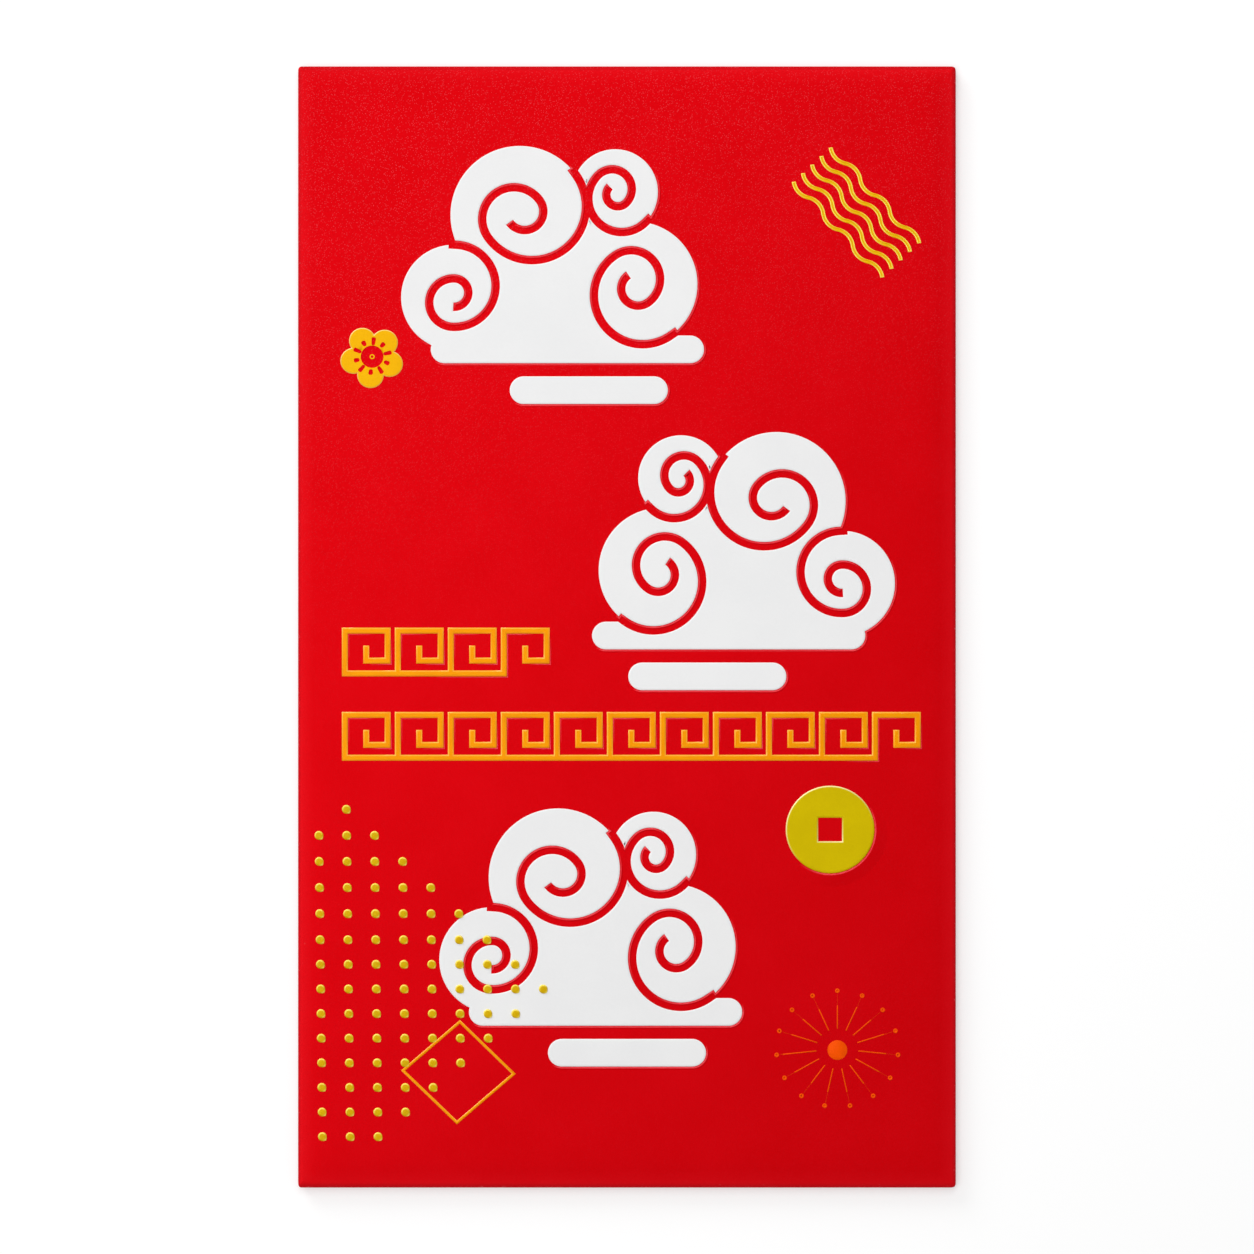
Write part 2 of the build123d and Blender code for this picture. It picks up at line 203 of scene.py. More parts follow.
def redPaper(name, worn=False, pressed=False):
    look = redLook
    f = Finish(bpy.data.materials.new(name))
    fibre = f.grain(*look["fibre"])
    cloudy = f.grain(*look["cloud"])
    tone = f.step(cloudy * (1 - look["fibreShare"]) + fibre * look["fibreShare"], *look["toneRange"])
    base = f.mixed(tone, look["deep"], look["bright"])
    # painted sheen: the flecks are painted stronger towards the top and left
    sheenTowardsTopLeft = f.step(f.along("Y") - f.along("X") * look["sheenLean"], *look["sheenRange"])
    flecks = 1 - f.step(f.dots(look["fleckGap"]), *look["fleckSize"])
    base = f.mixed(flecks * (look["fleckLeast"] + sheenTowardsTopLeft * look["fleckSheenAtTop"]), base, look["fleckAndSheen"])
    if worn:
        # paler along the folds, partly worn paper and partly a painted highlight on the rolled edges; the
        # rubbed spots below are real wear
        foldWearAndHighlight = f.painted("foldWearAndHighlight")
        patchy = look["edgeHighlightLeast"] + f.grain(*look["patch"]) * look["edgeHighlightPatch"]
        base = f.mixed(foldWearAndHighlight * patchy, base, look["edge"])
        spots = f.step(f.grain(*look["spot"]) + foldWearAndHighlight * look["spotLean"], *look["spotRange"])
        base = f.mixed(spots * foldWearAndHighlight * look["spotMost"], base, look["worn"])
    gloss = 0.0
    if pressed:
        # painted highlight on the lit side of the pressed paper, which also gets a clear gloss
        rim = f.painted("rim")
        base = f.mixed(rim * look["ridgeHighlightMix"], base, look["ridgeHighlightColour"])
        gloss = rim * look["gloss"]
    dented = fibre * look["bumpFibre"] + f.grain(*look["dent"]) * (1 - look["bumpFibre"])
    return f.surface(
        Base_Color=base,
        Roughness=look["rough"] - look["roughSpread"] / 2 + fibre * look["roughSpread"],
        Metallic=look["pearl"],
        IOR=look["ior"],
        Specular_IOR_Level=look["specular"],
        Specular_Tint=look["tint"],
        Normal=f.bump(dented, look["bumpStrength"], look["bumpDepth"]),
        Coat_Weight=gloss,
        Coat_Roughness=look["glossRough"],
        Coat_IOR=look["glossIor"],
    )


whiteLook = {
    "base": colour(0.86, 0.86, 0.86),
    "shade": colour(0.835, 0.835, 0.838),
    "cloud": (9.0, 3.0), "fine": (0.35, 2.0),
    "cloudShare": 0.7, "toneRange": (0.3, 0.7),
    "rough": 0.5, "roughSpread": 0.12,
    "specular": 0.08,
    "bumpStrength": 0.12, "bumpDepth": 0.03,
}


def whiteInk(name):
    look = whiteLook
    f = Finish(bpy.data.materials.new(name))
    cloudy = f.grain(*look["cloud"])
    fine = f.grain(*look["fine"])
    tone = f.step(cloudy * look["cloudShare"] + fine * (1 - look["cloudShare"]), *look["toneRange"])
    return f.surface(
        Base_Color=f.mixed(tone, look["shade"], look["base"]),
        Roughness=look["rough"] + fine * look["roughSpread"],
        Specular_IOR_Level=look["specular"],
        Normal=f.bump(fine, look["bumpStrength"], look["bumpDepth"]),
    )


# rim is the pale colour painted on the rims as a highlight
foilLooks = {
    "oliveGold": {"base": colour(0.63, 0.475, 0.0006), "shade": colour(0.59, 0.44, 0.0006),
                  "rim": colour(0.95, 0.88, 0.42)},
    "studGold": {"base": colour(0.65, 0.405, 0.002), "shade": colour(0.59, 0.36, 0.002),
                 "rim": colour(0.95, 0.80, 0.10)},
    "yellowGold": {"base": colour(0.86, 0.440, 0.001), "shade": colour(0.81, 0.410, 0.001),
                   "rim": colour(0.96, 0.78, 0.25)},
    "waveGold": {"base": colour(0.79, 0.445, 0.001), "shade": colour(0.74, 0.415, 0.001),
                 "rim": colour(0.99, 0.86, 0.10)},
    "amberGold": {"base": colour(0.90, 0.32, 0.001), "shade": colour(0.85, 0.28, 0.001),
                  "rim": colour(0.95, 0.48, 0.04)},
    "flameOrange": {"base": colour(0.88, 0.085, 0.0003), "shade": colour(0.82, 0.073, 0.0003),
                    "rim": colour(0.92, 0.20, 0.03)},
}
foilShine = {
    "cloud": (4.0, 3.0), "fine": (0.28, 2.0),
    "cloudShare": 0.7, "toneRange": (0.32, 0.68),
    "lustre": 0.05,
    "rough": 0.32, "roughSpread": 0.10,
    "specular": 0.17, "ior": 1.15,
    "bumpFine": 0.6, "bumpStrength": 0.12, "bumpDepth": 0.03,
    "rimPaintedHighlight": 0.9, "rimCoat": 0.7, "rimRough": 0.17, "rimIor": 1.42,
}


def foil(name):
    # the rounded rims carry a clear gloss that the flat print lacks, and on the side that faces the light
    # they are painted pale as a highlight
    look, shine = foilLooks[name], foilShine
    f = Finish(bpy.data.materials.new(name))
    cloudy = f.grain(*shine["cloud"])
    fine = f.grain(*shine["fine"])
    rim = f.painted("rim")
    tone = f.step(cloudy * shine["cloudShare"] + fine * (1 - shine["cloudShare"]), *shine["toneRange"])
    dented = fine * shine["bumpFine"] + cloudy * (1 - shine["bumpFine"])
    return f.surface(
        # painted highlight: the rims mix towards the pale rim colour
        Base_Color=f.mixed(rim * shine["rimPaintedHighlight"], f.mixed(tone, look["shade"], look["base"]), look["rim"]),
        Roughness=shine["rough"] - shine["roughSpread"] / 2 + fine * shine["roughSpread"],
        Metallic=shine["lustre"],
        IOR=shine["ior"],
        Specular_IOR_Level=shine["specular"],
        Coat_Weight=rim * shine["rimCoat"],
        Coat_Roughness=shine["rimRough"],
        Coat_IOR=shine["rimIor"],
        Normal=f.bump(dented, shine["bumpStrength"], shine["bumpDepth"]),
    )


glueLook = {
    "yellowed": colour(0.70, 0.64, 0.50),
    "clear": colour(0.80, 0.77, 0.68),
    "cloud": (5.0, 3.0), "fine": (0.6, 2.0),
    "rough": 0.3, "roughSpread": 0.2,
    "bumpStrength": 0.3, "bumpDepth": 0.05,
}


def driedGlue(name):
    look = glueLook
    f = Finish(bpy.data.materials.new(name))
    fine = f.grain(*look["fine"])
    return f.surface(
        Base_Color=f.mixed(f.grain(*look["cloud"]), look["yellowed"], look["clear"]),
        Roughness=look["rough"] + fine * look["roughSpread"],
        Normal=f.bump(fine, look["bumpStrength"], look["bumpDepth"]),
    )


redSheet = redPaper("red paper, folded", worn=True)
redPlain = redPaper("red paper, flat")
redPressedHighlit = redPaper("red paper, pressed", pressed=True)
whitePrint = whiteInk("white print")
gluePaste = driedGlue("dried glue")
foils = {name: foil(name) for name in foilLooks}
print("stage: finishes made")


# Relief of the front

relief = {
    # heights and sizes in mm
    "edgeDrop": 0.16,        # how far the panel sinks towards its folds
    "edgeReach": 1.5,
    "crown": 0.30,
    "waver": 0.012, "waverSize": 46.0, "waverSeed": 3.1,
}


def lift(x, y):
    # height of the pillowed front over the flat panel
    inX = max(min(x - panelLow.x, panelHigh.x - x), 0) / mm
    inY = max(min(y - panelLow.y, panelHigh.y - y), 0) / mm
    sideways = 1 - math.exp(-inX / relief["edgeReach"])
    endways = 1 - math.exp(-inY / relief["edgeReach"])
    across = 2 * (x - panelLow.x) / (panelHigh.x - panelLow.x) - 1
    along = 2 * (y - panelLow.y) / (panelHigh.y - panelLow.y) - 1
    crown = max(1 - across * across, 0) * max(1 - along * along, 0)
    spot = Vector((x, y, 0.0)) / (relief["waverSize"] * mm) + Vector((0, 0, relief["waverSeed"]))
    waver = noise.noise(spot)
    flat = sideways * endways
    return mm * (relief["edgeDrop"] * (flat - 1) + relief["crown"] * crown + relief["waver"] * waver * flat)


def keepIn(value, low, high):
    return max(low, min(high, value))


def makePiece(name, bm, material, smoothAngle):
    mesh = bpy.data.meshes.new(name)
    bm.to_mesh(mesh)
    bm.free()
    mesh.shade_smooth()
    mesh.set_sharp_from_angle(angle=math.radians(smoothAngle))
    piece = bpy.data.objects.new(name, mesh)
    bpy.context.scene.collection.objects.link(piece)
    mesh.materials.append(material)
    return piece


# Front sheet with its three folds

sheetLook = {
    # lengths in mm
    "cell": 1.6,
    "foldSteps": 16,
    "squareness": 3.0,       # 2 is a round fold, more is squarer
    "cornerStart": 0.03,     # corner radius of the flat panel
    "cornerSteps": 8,
    "cornerPower": 0.5,      # 1 is a round corner, less is squarer
    "foldMarkReach": 0.7,
    "smooth": 60.0,
}
cornerStart = sheetLook["cornerStart"] * mm


def foldReach():
    # how far each fold stands out, and the height of its foot
    names = ("left_fold", "right_fold", "bottom_fold", "flap_crease")
    left, right, end, crease = [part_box(name) for name in names]
    return {
        "left": (panelLow.x - left[0].x, left[0].z),
        "right": (right[1].x - panelHigh.x, right[0].z),
        "bottom": (panelLow.y - end[0].y, end[0].z),
        "top": (crease[1].y - panelHigh.y, crease[0].z),
    }


def rollOver(bm, edges, out, foot, start):
    # rings of faces from the panel's edge over and under the fold, pressed to a squarer section
    steps = sheetLook["foldSteps"]
    power = 2 / sheetLook["squareness"]
    top = panelHigh.z
    for step in range(1, steps + 1):
        turn = math.pi * step / steps
        share = abs(math.sin(turn)) ** power
        height = math.copysign(abs(math.cos(turn)) ** power, math.cos(turn))
        grown = bmesh.ops.extrude_edge_only(bm, edges=edges)["geom"]
        for v in grown:
            if isinstance(v, bmesh.types.BMVert):
                v.co.xy = v[start].xy + v[out].xy * share
                v.co.z = (top + v[foot]) / 2 + (top - v[foot]) / 2 * height
        edges = [e for e in grown if isinstance(e, bmesh.types.BMEdge)]
    return edges


def rollLayers(bm):
    vectors = bm.verts.layers.float_vector
    return vectors.new("out"), bm.verts.layers.float.new("foot"), vectors.new("start")


def liftFold(bm, foot):
    # panel points rise in full, fold points by their height above the fold's foot
    top = panelHigh.z
    for v in bm.verts:
        share = keepIn((v.co.z - v[foot]) / (top - v[foot]), 0, 1)
        x, y = keepIn(v.co.x, panelLow.x, panelHigh.x), keepIn(v.co.y, panelLow.y, panelHigh.y)
        v.co.z += share * lift(x, y)


def paintFoldWearAndHighlight(piece):
    # strongest on the outer edges of the folds, for both the wear and the painted edge highlight
    low, high = cadBox
    layer = piece.data.attributes.new("foldWearAndHighlight", "FLOAT", "POINT")
    for vertex, entry in zip(piece.data.vertices, layer.data):
        at = vertex.co
        inward = min(at.x - low.x, high.x - at.x, at.y - low.y, high.y - at.y)
        entry.value = math.exp(-max(inward, 0) / (sheetLook["foldMarkReach"] * mm))


def setFold(v, out, foot, start, reach):
    # how a point on the panel's rim rolls, from its direction off a slightly smaller panel
    inX = keepIn(v.co.x, panelLow.x + cornerStart, panelHigh.x - cornerStart)
    inY = keepIn(v.co.y, panelLow.y + cornerStart, panelHigh.y - cornerStart)
    away = Vector((v.co.x - inX, v.co.y - inY, 0)).normalized()
    side = reach["left" if away.x < 0 else "right"]
    end = reach["bottom" if away.y < 0 else "top"]
    power = sheetLook["cornerPower"]
    v[out] = (math.copysign(abs(away.x) ** power, away.x) * side[0],
              math.copysign(abs(away.y) ** power, away.y) * end[0], 0)
    v[foot] = away.x ** 2 * side[1] + away.y ** 2 * end[1]
    v[start] = v.co


def makeFrontSheet():
    width = panelHigh.x - panelLow.x
    height = panelHigh.y - panelLow.y
    reach = foldReach()
    bm = bmesh.new()
    out, foot, start = rollLayers(bm)
    bmesh.ops.create_grid(bm, x_segments=round(width / mm / sheetLook["cell"]),
                          y_segments=round(height / mm / sheetLook["cell"]), size=0.5)
    bmesh.ops.scale(bm, vec=(width, height, 1), verts=bm.verts)
    middle = (panelLow + panelHigh).xy.to_3d() / 2
    bmesh.ops.translate(bm, vec=middle + Vector((0, 0, panelHigh.z)), verts=bm.verts)
    corners = [v for v in bm.verts if len(v.link_edges) == 2]
    bmesh.ops.bevel(bm, geom=corners, offset=cornerStart, offset_type="OFFSET",
                    segments=sheetLook["cornerSteps"], profile=0.5, affect="VERTICES", material=-1)
    rim = [e for e in bm.edges if e.is_boundary]
    for v in {v for e in rim for v in e.verts}:
        setFold(v, out, foot, start, reach)
    # the straight part of the top edge stays open, because the crease starts there
    nearlyTop = 0.999 * reach["top"][0]
    rolled = [e for e in rim if not all(v[out].y > nearlyTop for v in e.verts)]
    rollOver(bm, rolled, out, foot, start)
    liftFold(bm, foot)
    bmesh.ops.recalc_face_normals(bm, faces=bm.faces)
    bmesh.ops.solidify(bm, geom=bm.faces[:], thickness=paperThick)
    piece = makePiece("front_sheet", bm, redSheet, sheetLook["smooth"])
    paintFoldWearAndHighlight(piece)
    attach(piece, "pocket")
    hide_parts("front_panel", "left_fold", "right_fold", "bottom_fold")
    return piece


frontSheet = makeFrontSheet()
print("stage: front sheet,", len(frontSheet.data.polygons), "faces")


# Crease at the top, which runs on to the flap's root

creaseLook = {"cell": 1.6, "bendFrom": 1.6, "bendTo": 0.35}      # in mm, the bend by height


def makeCrease():
    flapLow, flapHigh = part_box("closure_flap")
    top = panelHigh.z
    creaseReach, creaseFoot = foldReach()["top"]
    bm = bmesh.new()
    out, foot, start = rollLayers(bm)
    first = bm.verts.new((panelLow.x + cornerStart, panelHigh.y, top))
    last = bm.verts.new((panelHigh.x - cornerStart, panelHigh.y, top))
    edge = bm.edges.new((first, last))
    cuts = round((last.co - first.co).length / mm / creaseLook["cell"])
    bmesh.ops.subdivide_edges(bm, edges=[edge], cuts=cuts)
    for v in bm.verts:
        v[out] = (0, creaseReach, 0)
        v[foot] = creaseFoot
        v[start] = v.co
    ends = rollOver(bm, bm.edges[:], out, foot, start)
    # the foot runs on as far as the flap's root, and narrows to it
    grown = bmesh.ops.extrude_edge_only(bm, edges=ends)["geom"]
    bmesh.ops.translate(bm, vec=(0, flapHigh.y - panelHigh.y, 0),
                        verts=[g for g in grown if isinstance(g, bmesh.types.BMVert)])
    for v in bm.verts:
        share = keepIn(1 - (v.co.z - creaseFoot) / (top - creaseFoot), 0, 1) ** 2
        v.co.x += share * (keepIn(v.co.x, flapLow.x, flapHigh.x) - v.co.x)
    liftFold(bm, foot)
    bmesh.ops.recalc_face_normals(bm, faces=bm.faces)
    bmesh.ops.solidify(bm, geom=bm.faces[:], thickness=paperThick)
    piece = makePiece("crease_sheet", bm, redSheet, sheetLook["smooth"])
    paintFoldWearAndHighlight(piece)
    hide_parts("flap_crease")
    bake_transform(piece)
    return piece


crease = makeCrease()
print("stage: crease,", len(crease.data.polygons), "faces")


# Flat paper and glue, which keep their own shapes

plainPieces = {
    "back_panel": redPlain, "side_glue_tab": redPlain, "bottom_flap": redPlain, "closure_flap": redPlain,
    "side_seam_glue": gluePaste, "bottom_seam_glue": gluePaste,
}
for name, material in plainPieces.items():
    nodes[name].data.materials.clear()
    nodes[name].data.materials.append(material)
print("stage: flat paper and glue,", len(plainPieces), "pieces")


# Raised print

printSteps = {
    # profile: (inset, rise) of each ring from the outline inwards, in mm
    # rim: the last ring painted pale as a highlight, -1 for none; allRound: how strong that painted highlight
    # is at least on every side
    # sideLit: from and to which sideways share the painted highlight on the rim turns on, in place of the lit
    # side
    # ridge: (out, height) of the pressed paper around outlines of at least that size, in mm
    # shift and scale set a shape by the photo; narrow thins its lines
    # plain keeps the walls of shapes under that size upright
    # dimple: more rings, on shapes under dimpleBelow
    "coin_foil": {
        "finish": "oliveGold", "slot": "olive_gold_foil", "cell": 3.0,
        "profile": [(0.05, 0.05), (0.07, 0.05), (0.09, 0.028), (0.08, 0.006), (0.10, 0.0)], "rim": 2,
        "ridge": [(0.20, 0.09), (0.14, 0.08), (1.90, -0.01)], "least": 5.0,
        "shift": (0.09, -0.10), "scale": (1.006, 0.993)},
    "blossom_foil": {
        "finish": "yellowGold", "slot": "yellow_foil", "cell": 2.5,
        "profile": [(0.04, 0.045), (0.05, 0.035), (0.06, 0.02), (0.03, 0.002)], "rim": 2, "allRound": 0.30,
        "plain": 4.0,
        "shift": (0.15, -0.25), "scale": (1.01, 0.985)},
    "wave_foil": {
        "finish": "waveGold", "slot": "yellow_foil", "cell": 2.5,
        "profile": [(0.04, 0.05), (0.07, 0.03), (0.06, -0.03), (0.06, -0.04)], "rim": 2,
        "sideLit": (0.25, 0.85),
        "shift": (-0.05, -0.25)},
    "diamond_foil": {
        "finish": "amberGold", "slot": "amber_foil", "cell": 2.5, "narrow": 0.04,
        "profile": [(0.05, 0.045), (0.05, 0.03), (0.05, 0.0)], "rim": 1,
        "shift": (0.10, 0.05), "scale": (1.02, 1.01)},
    "burst_foil": {
        "finish": "flameOrange", "slot": "orange_foil", "cell": 3.0,
        "profile": [(0.03, 0.03), (0.03, 0.015)], "rim": -1,
        "dimple": [(0.07, 0.01), (0.09, -0.07)], "dimpleBelow": 1.2},
    "fret_band_upper": {
        "finish": "amberGold", "slot": "amber_foil", "cell": 3.0,
        "profile": [(0.05, 0.05), (0.07, 0.045), (0.09, 0.015), (0.08, 0.0)], "rim": 2, "allRound": 0.2,
        "ridge": [(0.14, 0.05), (0.08, 0.03), (0.10, -0.03)], "least": 1.6},
    "cloud_upper": {
        "finish": None, "slot": "white_print", "cell": 3.0,
        "profile": [(0.05, 0.04), (0.08, 0.03), (0.10, 0.015), (0.15, 0.0)], "rim": 0,
        "ridge": [(0.20, 0.06), (0.12, 0.05), (0.24, -0.03)], "least": 1.6},
}
printSteps["fret_band_lower"] = printSteps["fret_band_upper"]
printSteps["cloud_middle"] = printSteps["cloud_upper"]
printSteps["cloud_lower"] = printSteps["cloud_upper"]

printLook = {
    "sink": 0.05,                               # how deep the print is seated in the paper, in mm
    "lip": 0.015,                               # height of its upright edge, in mm
    "mitre": 0.7,                               # less lets sharp corners run further
    "highlightSide": Vector((-0.45, 0.89, 0)),        # rims that face this way are painted pale as a highlight
    "highlightLeast": 0.3, "highlightGain": 0.9,
    "pressSide": Vector((0.64, -0.77, 0)),      # the paper stands up on this side of the print, and is painted paler there as a highlight
    "pressGain": 1.3, "ridgeHighlightAndGloss": 0.5, "pressSunk": 0.5,
    "smooth": 35.0, "roundSmooth": 60.0,
}
printFoot = panelHigh.z - printLook["sink"] * mm


def islands(bm):
    # groups of joined vertices
    seen = set()
    groups = []
    for first in bm.verts:
        if first in seen:
            continue
        group, queue = [], [first]
        seen.add(first)
        while queue:
            v = queue.pop()
            group.append(v)
            for e in v.link_edges:
                other = e.other_vert(v)
                if other not in seen:
                    seen.add(other)
                    queue.append(other)
        groups.append(group)
    return groups


def spread(group):
    return max(max(v.co[k] for v in group) - min(v.co[k] for v in group) for k in range(2))


def middleOf(group):
    return sum((v.co for v in group), Vector()) / len(group)


def ringPoints(edges):
    return {v for e in edges for v in e.verts}


def fitTo(bm, steps):
    # small moves about the shape's own middle
    low = Vector(min(v.co[k] for v in bm.verts) for k in range(3))
    high = Vector(max(v.co[k] for v in bm.verts) for k in range(3))
    middle = (low + high) / 2
    shift = steps.get("shift", (0, 0))
    scale = steps.get("scale", (1, 1))
    for v in bm.verts:
        for k in range(2):
            v.co[k] = middle[k] + (v.co[k] - middle[k]) * scale[k] + shift[k] * mm


def outlineOf(name):
    # the top outline of a flat node as bare loops, each point knowing which way is inwards
    bm = bmesh.new()
    bm.from_mesh(nodes[name].data)
    bmesh.ops.remove_doubles(bm, verts=bm.verts, dist=weld)
    bm.normal_update()
    inward = bm.verts.layers.float_vector.new("inward")
    solid = bm.verts.layers.int.new("solid")
    for number, group in enumerate(islands(bm)):
        for v in group:
            v[solid] = number
    top = max(v.co.z for v in bm.verts)
    rim = set()
    for e in bm.edges:
        if all(abs(v.co.z - top) < 10 * weld for v in e.verts) and len(e.link_faces) == 2:
            walls = [face for face in e.link_faces if abs(face.normal.z) < 0.5]
            if len(walls) == 1:
                rim.add(e)
                for v in e.verts:
                    v[inward] = v[inward] - walls[0].normal
    for v in bm.verts:
        if v[inward].length > weld / mm:
            # two unit normals add to twice the cosine, which sets the mitre
            v[inward] = v[inward] / max(v[inward].length_squared / 2, printLook["mitre"])
    bmesh.ops.delete(bm, geom=bm.faces[:], context="FACES_ONLY")
    bmesh.ops.delete(bm, geom=[e for e in bm.edges if e not in rim], context="EDGES")
    bmesh.ops.delete(bm, geom=[v for v in bm.verts if not v.link_edges], context="VERTS")
    steps = printSteps[name]
    fitTo(bm, steps)
    for v in bm.verts:
        v.co += v[inward] * steps.get("narrow", 0) * mm
    if name == "burst_foil":
        shapeBurst(bm)
    elif name == "blossom_foil":
        shapeStamens(bm)
    return bm, inward, solid


def grow(bm, edges, inward, inset, rise=0):
    # one more ring of faces on open loops; gives back the new loops
    geom = bmesh.ops.extrude_edge_only(bm, edges=edges)["geom"]
    for v in geom:
        if isinstance(v, bmesh.types.BMVert):
            v.co += v[inward] * inset * mm
            v.co.z += rise * mm
    return [e for e in geom if isinstance(e, bmesh.types.BMEdge)]


def rimHighlightShare(away, steps):
    # how strongly a rim is painted pale as a highlight and glossed, where it faces away from its print in
    # this direction
    way = away.normalized()
    if "sideLit" in steps:
        low, high = steps["sideLit"]
        return keepIn((abs(way.x) - low) / (high - low), 0, 1)
    lit = printLook["highlightLeast"] + printLook["highlightGain"] * way.dot(printLook["highlightSide"])
    return max(keepIn(lit, 0, 1), steps.get("allRound", 0))


def cap(bm, edges, solid, side):
    # fills the loops of each solid by itself
    for number in sorted({e.verts[0][solid] for e in edges}):
        mine = [e for e in edges if e.verts[0][solid] == number]
        bmesh.ops.triangle_fill(bm, edges=mine, use_beauty=True, normal=(0, 0, side))


def sliceUp(bm, cell):
    # cuts on a square grid, so that a flat shape can follow the pillowed front
    for axis in range(2):
        low = min(v.co[axis] for v in bm.verts)
        high = max(v.co[axis] for v in bm.verts)
        count = int((high - low) / (cell * mm))
        for number in range(1, count + 1):
            point, normal = Vector(), Vector()
            point[axis] = low + (high - low) * number / (count + 1)
            normal[axis] = 1
            bmesh.ops.bisect_plane(bm, geom=bm.verts[:] + bm.edges[:] + bm.faces[:], dist=weld / 10,
                                   plane_co=point, plane_no=normal)


def liftAll(bm):
    for v in bm.verts:
        v.co.z += lift(v.co.x, v.co.y)


def raisePrint(name):
    steps = printSteps[name]
    bm, inward, solid = outlineOf(name)
    rim = bm.verts.layers.float.new("rim")
    dimpled = set()
    for group in islands(bm):
        if spread(group) < steps.get("plain", 0) * mm:
            for v in group:
                v[inward] = (0, 0, 0)
        if spread(group) < steps.get("dimpleBelow", 0) * mm:
            dimpled.add(group[0][solid])
    for v in bm.verts:
        v.co.z = printFoot
    edges = bm.edges[:]
    cap(bm, edges, solid, -1)
    upright = (0, printLook["sink"] + printLook["lip"])
    for number, (inset, rise) in enumerate([upright] + steps["profile"]):
        edges = grow(bm, edges, inward, inset, rise)
        for v in ringPoints(edges):
            # the rim value paints the highlight colour and sets the clear gloss
            v[rim] = rimHighlightShare(-v[inward], steps) if number <= steps["rim"] else 0.0
    if dimpled:
        small = [e for e in edges if e.verts[0][solid] in dimpled]
        edges = [e for e in edges if e.verts[0][solid] not in dimpled]
        for inset, rise in steps["dimple"]:
            small = grow(bm, small, inward, inset, rise)
        edges += small
    cap(bm, edges, solid, 1)
    bmesh.ops.recalc_face_normals(bm, faces=bm.faces)
    if name == "burst_foil":
        addHairlines(bm)
    sliceUp(bm, steps["cell"])
    liftAll(bm)
    material = foils[steps["finish"]] if steps["finish"] else whitePrint
    piece = makePiece(name + "_print", bm, material, printLook["smooth"])
    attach(piece, "pocket")
    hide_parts(name)
    return piece


# Burst: rays of uneven length, with hairlines on to the sparks

burstLook = {
    # radii and lengths in mm
    "disc": 1.8,                                        # shapes within this radius keep their place
    "rayStart": 3.15, "rayEnd": 7.0, "spark": 9.1,      # of the plain burst
    "widest": 96.0,                                     # turn of the spark furthest to the side
    "rayLeast": 1.5,                                    # shapes longer than this are rays
    "thin": 0.72, "sparkSize": 0.90,
    "scale": (1.018, 0.97), "rise": 0.19,
    "hairline": 0.020, "hairlineHeight": 0.014, "gap": 0.5,
    # outer ends of the rays, clockwise from the top
    "ends": [6.79, 7.16, 6.73, 7.32, 7.30, 7.18, 6.69, 6.91, 6.94, 6.65, 7.37, 8.19, 7.20, 6.94, 6.78],
}


def burstMiddle():
    low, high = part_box("burst_foil")
    spark = burstLook["spark"] * mm
    sparkRadius = (high.x - low.x) / 2 - spark * math.sin(math.radians(burstLook["widest"]))
    return Vector(((low.x + high.x) / 2, high.y - (spark + sparkRadius), 0))


def burstPlace(radius, turn):
    # a point of the burst, its radius in mm and its turn clockwise from the top
    middle = burstMiddle()
    wide, high = burstLook["scale"]
    return Vector((middle.x + radius * mm * math.sin(turn) * wide,
                   middle.y + (radius * math.cos(turn) * high + burstLook["rise"]) * mm, 0))


def shapeBurst(bm):
    middle = burstMiddle()
    count = len(burstLook["ends"])
    inner, outer = burstLook["rayStart"], burstLook["rayEnd"]
    for group in islands(bm):
        centre = middleOf(group)
        away = (centre - middle).xy.to_3d()
        if away.length < burstLook["disc"] * mm:
            continue
        turn = math.atan2(away.x, away.y)
        along = Vector((math.sin(turn), math.cos(turn), 0))
        across = Vector((along.y, -along.x, 0))
        end = burstLook["ends"][round(turn / (2 * math.pi) * count) % count]
        isRay = spread(group) > burstLook["rayLeast"] * mm
        for v in group:
            if isRay:
                radius = (v.co - middle).dot(along) / mm
                radius = inner + (radius - inner) * (end - inner) / (outer - inner)
                side = (v.co - middle).dot(across) * burstLook["thin"]
                moved = burstPlace(radius, turn) + across * side
            else:
                moved = burstPlace(burstLook["spark"], turn) + (v.co - centre) * burstLook["sparkSize"]
            v.co.xy = moved.xy


def addHairlines(bm):
    count = len(burstLook["ends"])
    height = (printLook["sink"] + burstLook["hairlineHeight"]) * mm
    for number, end in enumerate(burstLook["ends"]):
        turn = 2 * math.pi * number / count
        first = burstPlace(end, turn)
        last = burstPlace(burstLook["spark"] - burstLook["gap"], turn)
        run = last - first
        made = bmesh.ops.create_cube(bm, size=1.0)["verts"]
        bmesh.ops.scale(bm, vec=(run.length, burstLook["hairline"] * mm, height), verts=made)
        turned = Matrix.Rotation(math.atan2(run.y, run.x), 3, "Z")
        bmesh.ops.rotate(bm, cent=(0, 0, 0), matrix=turned, verts=made)
        middle = (first + last) / 2 + Vector((0, 0, printFoot + height / 2))
        bmesh.ops.translate(bm, vec=middle, verts=made)


# Blossom: tear-drop stamens and a small pip

stamenLook = {
    "least": 0.5, "most": 1.6,                  # stamens are between these lengths, in mm
    "centre": 1.0,                              # shapes nearer the middle than this are the pip, in mm
    "widen": 1.36, "taper": 0.22, "lengthen": 1.12,
    "pip": 0.86, "pipHole": 1.5,
}


